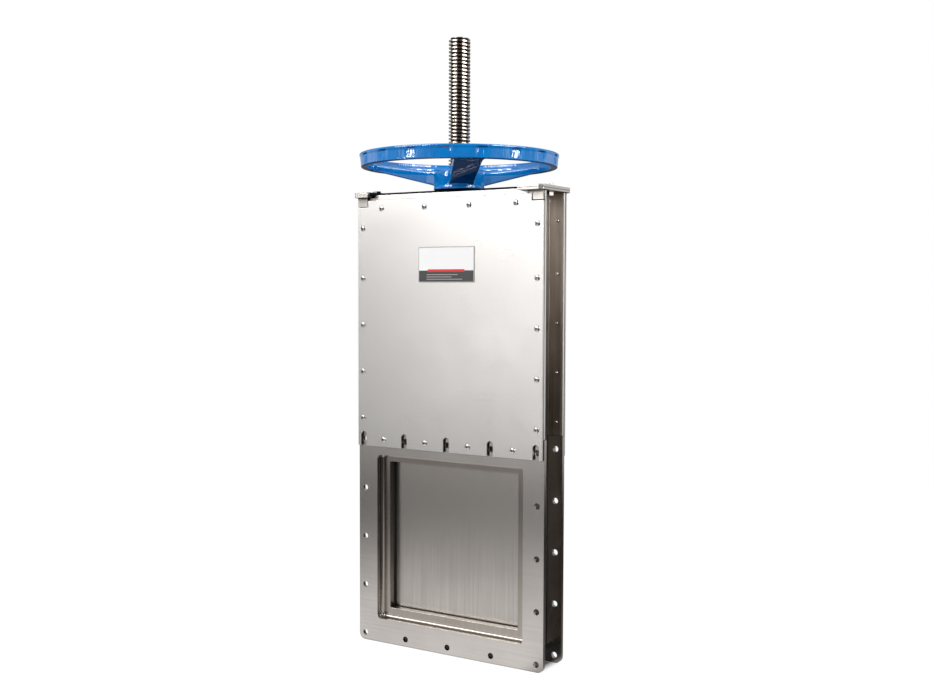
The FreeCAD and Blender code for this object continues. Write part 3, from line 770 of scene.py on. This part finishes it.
def make_thread():
    """The thread's room: a grid wound into a left-hand helix, plain below the shoulder, with closed ends."""
    low = stem_low.z - THREAD_OVERRUN
    high = stem_high.z + THREAD_OVERRUN
    foot = low - THREAD_PITCH - THREAD_CLEARANCE
    sizes = {
        "Foot": foot,
        "Turns": math.ceil((high - foot) / THREAD_PITCH) + 1,
        "Steps": THREAD_STEPS,
        "Pitch": THREAD_PITCH,
        "Crest": THREAD_CREST,
        "Flank": THREAD_FLANK,
        "Outer Radius": STEM_RADIUS + THREAD_CLEARANCE,
        "Crest Radius": STEM_RADIUS + CREST_CLEARANCE,
        "Root Radius": THREAD_ROOT_RADIUS,
        "Shoulder": THREAD_FOOT,
        "Low End": low,
        "High End": high,
    }
    tree, size = growth("left_hand_thread", sizes)
    crest_end = add(tree, "ShaderNodeMath", {0: size["Flank"], 1: size["Crest"]}, operation="ADD")
    root_start = add(tree, "ShaderNodeMath", {0: crest_end, 1: size["Flank"]}, operation="ADD")
    root, crest = size["Root Radius"], size["Crest Radius"]
    # The thread's profile from corner to corner: how far up each lies in its turn, and its radius
    rises = (None, size["Flank"], crest_end.outputs[0], root_start.outputs[0], size["Pitch"])
    radii = (root, crest, crest, root, root)
    rows = add(tree, "ShaderNodeMath", {
        0: size["Turns"], 1: size["Steps"], 2: 1.0,
    }, operation="MULTIPLY_ADD")
    grid = add(tree, "GeometryNodeMeshGrid", {
        "Size X": 1.0, "Size Y": 1.0, "Vertices X": rows, "Vertices Y": len(rises),
    })
    # Each row of the grid is one step along the helix, and each point in a row is one corner
    index = add(tree, "GeometryNodeInputIndex")
    past = add(tree, "ShaderNodeMath", {0: index, 1: 0.5}, operation="ADD")
    row = add(tree, "ShaderNodeMath", {0: past, 1: float(len(rises))}, operation="DIVIDE")
    step = add(tree, "ShaderNodeMath", {0: row}, operation="FLOOR")
    before = add(tree, "ShaderNodeMath", {0: step, 1: float(len(rises))}, operation="MULTIPLY")
    corner = add(tree, "ShaderNodeMath", {0: index, 1: before}, operation="SUBTRACT")
    turn = add(tree, "ShaderNodeMath", {0: step, 1: size["Steps"]}, operation="DIVIDE")
    profile = []
    for values in (rises, radii):
        switch = add(tree, "GeometryNodeIndexSwitch", {"Index": corner}, data_type="FLOAT")
        while len(switch.index_switch_items) < len(values):
            switch.index_switch_items.new()
        for k, value in enumerate(values):
            if value is not None:
                tree.links.new(value, switch.inputs[k + 1])
        profile.append(switch)
    rise, cut_radius = profile
    climbed = add(tree, "ShaderNodeMath", {0: turn, 1: size["Pitch"], 2: rise}, operation="MULTIPLY_ADD")
    raw = add(tree, "ShaderNodeMath", {0: climbed, 1: size["Foot"]}, operation="ADD")
    capped = add(tree, "ShaderNodeMath", {0: raw, 1: size["High End"]}, operation="MINIMUM")
    height = add(tree, "ShaderNodeMath", {0: capped, 1: size["Low End"]}, operation="MAXIMUM")
    # Only between the shoulder and the top end is the profile cut
    above = add(tree, "ShaderNodeMath", {0: raw, 1: size["Shoulder"]}, operation="GREATER_THAN")
    below = add(tree, "ShaderNodeMath", {0: raw, 1: size["High End"]}, operation="LESS_THAN")
    cut = add(tree, "ShaderNodeMath", {0: above, 1: below}, operation="MULTIPLY")
    depth = add(tree, "ShaderNodeMath", {0: cut_radius, 1: size["Outer Radius"]}, operation="SUBTRACT")
    radius = add(tree, "ShaderNodeMath", {
        0: depth, 1: cut, 2: size["Outer Radius"],
    }, operation="MULTIPLY_ADD")
    angle = add(tree, "ShaderNodeMath", {0: turn, 1: -2 * math.pi}, operation="MULTIPLY")
    cosine = add(tree, "ShaderNodeMath", {0: angle}, operation="COSINE")
    sine = add(tree, "ShaderNodeMath", {0: angle}, operation="SINE")
    place = add(tree, "ShaderNodeCombineXYZ", {
        0: add(tree, "ShaderNodeMath", {0: radius, 1: cosine}, operation="MULTIPLY"),
        1: add(tree, "ShaderNodeMath", {0: radius, 1: sine}, operation="MULTIPLY"),
        2: height,
    })
    wound = add(tree, "GeometryNodeSetPosition", {"Geometry": grid, "Position": place})
    joined = add(tree, "GeometryNodeMergeByDistance", {"Geometry": wound, "Distance": 0.01 * MM})
    mesh = grow("thread_room", tree, joined, sizes, None, bpy.data.meshes.new("empty"))
    shape = bmesh.new()
    shape.from_mesh(mesh)
    bmesh.ops.dissolve_degenerate(shape, edges=shape.edges, dist=0.001 * MM)
    bmesh.ops.holes_fill(shape, edges=[edge for edge in shape.edges if edge.is_boundary], sides=0)
    bmesh.ops.recalc_face_normals(shape, faces=shape.faces)
    return to_mesh(shape, "closed_thread_room")


def make_stem(material):
    """The threaded stem: the plain bar with its tongue, kept only inside the thread's room."""
    shape = bmesh.new()
    shape.from_mesh(nodes["stem"].data)
    bmesh.ops.remove_doubles(shape, verts=shape.verts, dist=0.002 * MM)
    mesh = carve(to_mesh(shape, "plain_stem"), make_thread(), "INTERSECT")
    mesh.name = "threaded_stem"
    smooth(mesh, 30)
    return make_object("threaded_stem", mesh, material)


# The handwheel


def rim_mesh():
    """The rim: a ring with a lip and an inner ledge, its finger grooves pressed in by a rule."""
    top = RIM_BOTTOM + RIM_HEIGHT
    inner = WHEEL_RADIUS - RIM_WIDTH
    ledge = top - RIM_LEDGE_DROP
    lip = WHEEL_RADIUS - RIM_LIP_WIDTH
    lip_foot = top - RIM_LIP_HEIGHT
    corners = [
        (WHEEL_RADIUS, RIM_BOTTOM, 1.5 * MM),
        (WHEEL_RADIUS - RIM_DRAFT, lip_foot - RIM_LIP_SLOPE, 0),
        (WHEEL_RADIUS, lip_foot, 0),
        (WHEEL_RADIUS, top, 1.5 * MM),
        (lip, top, 1.5 * MM),
        (lip, ledge, 1 * MM),
        (inner, ledge, 2 * MM),
        (inner, RIM_BOTTOM, 3 * MM),
    ]
    sizes = {
        "Count": GROOVE_COUNT,
        "First Grip": GRIP_ANGLE,
        "Width": GROOVE_WIDTH,
        "Depth": GROOVE_DEPTH,
        "Edge": GROOVE_RUN_OUT,
        "Radius": WHEEL_RADIUS,
        "Lip Foot": lip_foot,
    }
    tree, size = growth("finger_grooves", sizes)
    place = add(tree, "GeometryNodeInputPosition")
    parts = add(tree, "ShaderNodeSeparateXYZ", {0: place}).outputs
    # How far a point lies inside the nearest groove's edges, along the rim
    heading = add(tree, "ShaderNodeMath", {0: parts["Y"], 1: parts["X"]}, operation="ARCTAN2")
    angle = add(tree, "ShaderNodeMath", {0: heading, 1: size["First Grip"]}, operation="SUBTRACT")
    density = add(tree, "ShaderNodeMath", {0: size["Count"], 1: 2 * math.pi}, operation="DIVIDE")
    counted = add(tree, "ShaderNodeMath", {0: angle, 1: density}, operation="MULTIPLY")
    share = add(tree, "ShaderNodeMath", {0: counted, 1: 1.0}, operation="FLOORED_MODULO")
    centred = add(tree, "ShaderNodeMath", {0: share, 1: 0.5}, operation="SUBTRACT")
    off_middle = add(tree, "ShaderNodeMath", {0: centred}, operation="ABSOLUTE")
    girth = add(tree, "ShaderNodeMath", {0: size["Radius"], 1: 2 * math.pi}, operation="MULTIPLY")
    arc = add(tree, "ShaderNodeMath", {0: girth, 1: size["Count"]}, operation="DIVIDE")
    half_width = add(tree, "ShaderNodeMath", {0: size["Width"], 1: 2.0}, operation="DIVIDE")
    along = add(tree, "ShaderNodeMath", {0: off_middle, 1: arc}, operation="MULTIPLY")
    from_edge = add(tree, "ShaderNodeMath", {0: half_width, 1: along}, operation="SUBTRACT")
    pressed = add(tree, "ShaderNodeMapRange", {
        "Value": from_edge, "From Max": size["Edge"], "To Max": size["Depth"],
    }, interpolation_type="SMOOTHSTEP")
    # Only the outer face below the lip is pressed in
    reach = add(tree, "ShaderNodeMath", {0: size["Radius"], 1: GROOVE_REACH}, operation="SUBTRACT")
    outside = add(tree, "ShaderNodeMath", {
        0: axis_distance(tree, place), 1: reach,
    }, operation="GREATER_THAN")
    limit = add(tree, "ShaderNodeMath", {0: size["Lip Foot"], 1: GROOVE_LIP_GAP}, operation="SUBTRACT")
    below = add(tree, "ShaderNodeMath", {0: parts["Z"], 1: limit}, operation="LESS_THAN")
    on_face = add(tree, "ShaderNodeMath", {0: pressed, 1: outside}, operation="MULTIPLY")
    depth = add(tree, "ShaderNodeMath", {0: on_face, 1: below}, operation="MULTIPLY")
    inward = add(tree, "ShaderNodeMath", {0: depth, 1: -1.0}, operation="MULTIPLY")
    flat = add(tree, "ShaderNodeVectorMath", {0: place, 1: (1, 1, 0)}, operation="MULTIPLY")
    outward = add(tree, "ShaderNodeVectorMath", {0: flat}, operation="NORMALIZE")
    shift = add(tree, "ShaderNodeVectorMath", {0: outward, "Scale": inward}, operation="SCALE")
    moved = add(tree, "GeometryNodeSetPosition", {"Geometry": size["Geometry"], "Offset": shift})
    ring = to_mesh(lathe(rounded(corners), RIM_SEGMENTS), "plain_rim")
    return grow("grooved_rim", tree, moved, sizes, None, ring)


def hub_mesh():
    """The turned hub: a bored drum on a slightly wider foot."""
    foot_top = HUB_BOTTOM + HUB_FOOT_HEIGHT
    top = HUB_BOTTOM + HUB_HEIGHT
    corners = [
        (HUB_BORE_RADIUS, HUB_BOTTOM, 0),
        (HUB_FOOT_RADIUS, HUB_BOTTOM, 1 * MM),
        (HUB_FOOT_RADIUS, foot_top, 1.5 * MM),
        (HUB_RADIUS, foot_top, 1.5 * MM),
        (HUB_RADIUS, top, 3 * MM),
        (HUB_BORE_RADIUS, top, 0),
    ]
    return to_mesh(lathe(rounded(corners), HUB_SEGMENTS), "hub")


def spoke_mesh(angle):
    """One climbing spoke: deep at the hub, wide and shallow at the rim, flaring into both."""
    hub_end = SPOKE_HUB_END * MM
    rim_end = SPOKE_RIM_END * MM
    rim_inner = WHEEL_RADIUS - RIM_WIDTH
    shape = bmesh.new()
    rings = []
    for station in SPOKE_STATIONS:
        place = station * MM
        share = (place - hub_end) / (rim_end - hub_end)
        to_hub = max(0.0, 1 - max(0.0, place - HUB_RADIUS) / (HUB_FLARE * MM)) ** 2
        to_rim = max(0.0, 1 - max(0.0, rim_inner - place) / (RIM_FLARE * MM)) ** 2
        width = (
            (SPOKE_WIDTH + SPOKE_WIDENS * share) * MM
            + RIM_FLARE_WIDTH * MM * to_rim + HUB_FLARE_WIDTH * MM * to_hub
        )
        low = HUB_BOTTOM + (SPOKE_LIFT + SPOKE_CLIMB * share) * MM - RIM_FLARE_DROP * MM * to_rim
        high = (
            low + (SPOKE_DEPTH - SPOKE_THINS * share) * MM
            + FLARE_RISE * MM * to_rim + FLARE_RISE * MM * to_hub
        )
        half = width / 2
        radius = min(SPOKE_ROUNDING * MM, (high - low) / 3)
        corners = [
            (-half, low, radius * 0.6), (half, low, radius * 0.6),
            (half, high, radius), (-half, high, radius),
        ]
        rings.append([
            shape.verts.new((
                place * math.cos(angle) - point.x * math.sin(angle),
                place * math.sin(angle) + point.x * math.cos(angle),
                point.y,
            )) for point in rounded(corners)
        ])
    join_rings(shape, rings, closed=False)
    return to_mesh(shape, "spoke")


def keyway_mesh():
    """The block that cuts the keyway: round the key, and open at the top of the hub."""
    key_low, key_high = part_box("wheel_key")
    low = (key_low.x - KEYWAY_OVERRUN, key_low.y, key_low.z)
    high = (key_high.x, key_high.y, wheel_high.z)
    shape = bmesh.new()
    bmesh.ops.create_cube(shape, size=1)
    for vert in shape.verts:
        for axis in range(3):
            vert.co[axis] = low[axis] if vert.co[axis] < 0 else high[axis]
    return to_mesh(shape, "keyway")


def make_handwheel(material):
    """The cast wheel in one skin: rim, spokes and hub melted together, then the keyway cut."""
    whole = bmesh.new()
    for mesh in [rim_mesh(), hub_mesh()] + [spoke_mesh(angle) for angle in SPOKE_ANGLES]:
        whole.from_mesh(mesh)
    cast = make_object("wheel_cast", to_mesh(whole, "wheel_cast"))
    melt = cast.modifiers.new("melt", "REMESH")
    melt.mode = "VOXEL"
    melt.voxel_size = CAST_CELL
    ease = cast.modifiers.new("ease", "SMOOTH")
    ease.factor = CAST_SMOOTHING
    ease.iterations = CAST_ROUNDS
    skin = evaluated_mesh(cast)
    bpy.data.objects.remove(cast)
    skin = carve(skin, keyway_mesh(), "DIFFERENCE")
    skin.name = "cast_handwheel"
    smooth(skin, CAST_SHARP_ANGLE)
    return make_object("cast_handwheel", skin, material)


# Cover screws


def screw_template():
    """One button head screw with a hexagon socket, its head's seat at height zero."""
    steep, shallow = SCREW_DOME_STEEP, SCREW_DOME_SHALLOW
    arc = (SCREW_HEAD_RADIUS - SCREW_CROWN_RADIUS) / (math.sin(steep) - math.sin(shallow))
    outline = SCREW_SHANK + [(SCREW_HEAD_RADIUS, 0.0)]
    for k in range(SCREW_DOME_RINGS):
        slope = steep + (shallow - steep) * k / (SCREW_DOME_RINGS - 1)
        outline.append((
            SCREW_HEAD_RADIUS - arc * (math.sin(steep) - math.sin(slope)),
            SCREW_HEAD_EDGE + arc * (math.cos(slope) - math.cos(steep)),
        ))
    dome = outline[-1][1]
    shape = bmesh.new()
    turns = [2 * math.pi * k / SCREW_SIDES for k in range(SCREW_SIDES)]
    rings = []
    for radius, height in outline:
        rings.append([
            shape.verts.new((radius * math.cos(turn) * MM, radius * math.sin(turn) * MM, height * MM))
            for turn in turns
        ])
    # The hexagon socket goes down from the dome to its floor
    for height in (dome, SCREW_SOCKET_FLOOR):
        ring = []
        for turn in turns:
            reach = SCREW_SOCKET_HALF / math.cos(turn % (math.pi / 3) - math.pi / 6)
            spot = (reach * math.cos(turn) * MM, reach * math.sin(turn) * MM, height * MM)
            ring.append(shape.verts.new(spot))
        rings.append(ring)
    join_rings(shape, rings, closed=False)
    mesh = to_mesh(shape, "screw_template")
    smooth(mesh, 40)
    return make_object("screw_template", mesh)


def screw_places():
    """Where the screws of both covers sit: (x, z, facing)."""
    places = []
    for facing, lift in ((-1, 0), (1, SCREW_REAR_LIFT)):
        for x in SCREW_SIDE_X:
            places += [(x, z + lift, facing) for z in SCREW_SIDE_Z]
        places += [(x, SCREW_TOP_Z, facing) for x in SCREW_TOP_X]
        places += [(x, SCREW_BOTTOM_Z, facing) for x in SCREW_BOTTOM_X]
    return places


def make_screws(material):
    """All the covers' screws, each turned by chance as a fitter leaves them."""
    places = screw_places()
    base = bpy.data.meshes.new("screw_places")
    face = max(abs(cover_low.y), abs(cover_high.y))
    base.from_pydata([(x * MM, facing * face, z * MM) for x, z, facing in places], [], [])
    mark = base.attributes.new("facing", "FLOAT", "POINT")
    mark.data.foreach_set("value", [facing for x, z, facing in places])
    template = screw_template()
    sizes = {"Screw": template, "Chance": SCREW_SEED}
    tree, size = growth("screws_on_places", sizes)
    facing = add(tree, "GeometryNodeInputNamedAttribute", {"Name": "facing"}, data_type="FLOAT")
    outward = add(tree, "ShaderNodeCombineXYZ", {1: facing})
    upright = add(tree, "FunctionNodeAlignRotationToVector", {"Vector": outward}, axis="Z")
    chance = add(tree, "FunctionNodeRandomValue", {
        "Min": 0.0, "Max": 2 * math.pi, "Seed": size["Chance"],
    }, data_type="FLOAT")
    spin = add(tree, "FunctionNodeAxisAngleToRotation", {"Axis": (0, 0, 1), "Angle": chance})
    turned = add(tree, "FunctionNodeRotateRotation", {0: upright, 1: spin}, rotation_space="LOCAL")
    screw = add(tree, "GeometryNodeObjectInfo", {"Object": size["Screw"]}).outputs["Geometry"]
    placed = add(tree, "GeometryNodeInstanceOnPoints", {
        "Points": size["Geometry"], "Instance": screw, "Rotation": turned,
    })
    mesh = grow("cover_screws", tree, placed, sizes, material, base)
    bpy.data.objects.remove(template)
    return make_object("cover_screws", mesh, material)


# What each piece wears


def put(obj, body, slot, *replaced):
    """Hangs a finished piece on its body and hides what it stands for; its slot is not used."""
    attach(obj, body)
    if replaced:
        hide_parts(*replaced)


def dress(names, material, bevel_mm=0.0):
    """Gives CAD nodes their material, and fine rounded edges that catch the light."""
    for name in names:
        obj = nodes[name]
        obj.data.materials.clear()
        obj.data.materials.append(material)
        if bevel_mm:
            weld = obj.modifiers.new("weld", "WELD")
            weld.merge_threshold = 0.001 * MM
            flat = obj.modifiers.new("flat", "DECIMATE")
            flat.decimate_type = "DISSOLVE"
            flat.angle_limit = math.radians(0.5)
            bevel = obj.modifiers.new("edge", "BEVEL")
            bevel.width = bevel_mm * MM
            bevel.segments = 2
            bevel.limit_method = "ANGLE"
            bevel.angle_limit = math.radians(40)
            bevel.harden_normals = True


set_camera()
set_world()
set_floor()
set_lamps()

# Covers and top rails: pale ground sheet, so even that its grain hardly shows
cover_steel = brushed_stainless("ground_stainless_cover", "#D2CECB", "#E0DDDA", 0.25, "X", 5.0, 0.1)
# Flanges: ground plate, a shade darker, with grain that runs across
flange_steel = brushed_stainless("ground_stainless_flange", "#A9A4A0", "#BFBAB5", 0.23, "X")
# Lugs: ground plate again, with painted shade in the wide corners under their edges
lug_steel = brushed_stainless(
    "ground_stainless_lug", "#B7B2AD", "#CDC8C3", 0.25, "X", 22.0, 0.3, (0.5, 1.0)
)
# Port frames: rolled and pressed, the shiniest steel here, so that their coves show bright lines
recess_steel = brushed_stainless("rolled_stainless_recess", "#89827B", "#A49D96", 0.20, "Z", 8.0)
# Bars inside: dull rolled stock that was never ground
bar_steel = brushed_stainless("rolled_stainless_bar", "#7E746A", "#9C9188", 0.34, "X")
# Gate: ground plate with plain upright lines, which the sliding wore in
gate_steel = brushed_stainless("ground_stainless_gate", "#9B9691", "#B6B1AB", 0.25, "Z", 10.0, 0.5)
# Screws, bolts, key and pin: machined bright, so that they mirror the room
bolt_steel = plain_finish("bright_stainless_fastener", "#C9C6C2", "#DDDBD8", 1.0, 0.10, 3.0)
# Stem nut: cast bronze, a dull warm yellow in the hub's bore
bronze = plain_finish("cast_bronze", "#8F6B35", "#A9834A", 1.0, 0.35, 4.0)
# Gaskets and seals: matt black rubber, a dark line round the covers
rubber = plain_finish("black_rubber", "#141414", "#222222", 0.0, 0.7, 2.0)
# Packing: felt soaked with grease, dark brown and without gloss
felt = plain_finish("greased_felt", "#3A342C", "#4E463B", 0.0, 0.85, 1.5)
# Guides: moulded polyethylene, milky and half matt
guide_plastic = plain_finish("white_polyethylene", "#C9C7BE", "#DCDAD2", 0.0, 0.5, 6.0)

dress(["front_cover", "rear_cover"], cover_steel, 0.5)
dress(["front_flange", "rear_flange"], flange_steel, 1.3)
dress(["front_port_frame", "rear_port_frame"], recess_steel, 1.2)
dress(["left_channel", "right_channel"], channel_stainless(), 1.4)
dress(["bottom_bar", "front_gland_bar", "rear_gland_bar"], bar_steel, 0.5)
dress(["front_top_rail", "rear_top_rail"], cover_steel, 0.5)
dress(["left_lug", "right_lug"], lug_steel, 1.3)
dress(["bridge"], bridge_with_painted_shade(), 1.3)
dress(["gate"], gate_steel, 0.4)
dress(["lug_bolts", "wheel_key", "cheek_pin"], bolt_steel, 0.4)
dress(["stem_nut"], bronze, 0.4)
dress(["front_gasket", "rear_gasket", "front_seat_seal", "rear_seat_seal", "sill_seal"], rubber)
dress(["front_packing", "rear_packing"], felt)
dress(["left_guide", "right_guide"], guide_plastic)
dress(["label_plate"], label_film())

put(make_stem(turned_stainless()), "gate_and_stem", "stem_steel", "stem")
put(make_handwheel(wheel_enamel()), "wheel", "wheel_paint", "handwheel")
put(make_screws(bolt_steel), "valve_body", "bolt_steel")
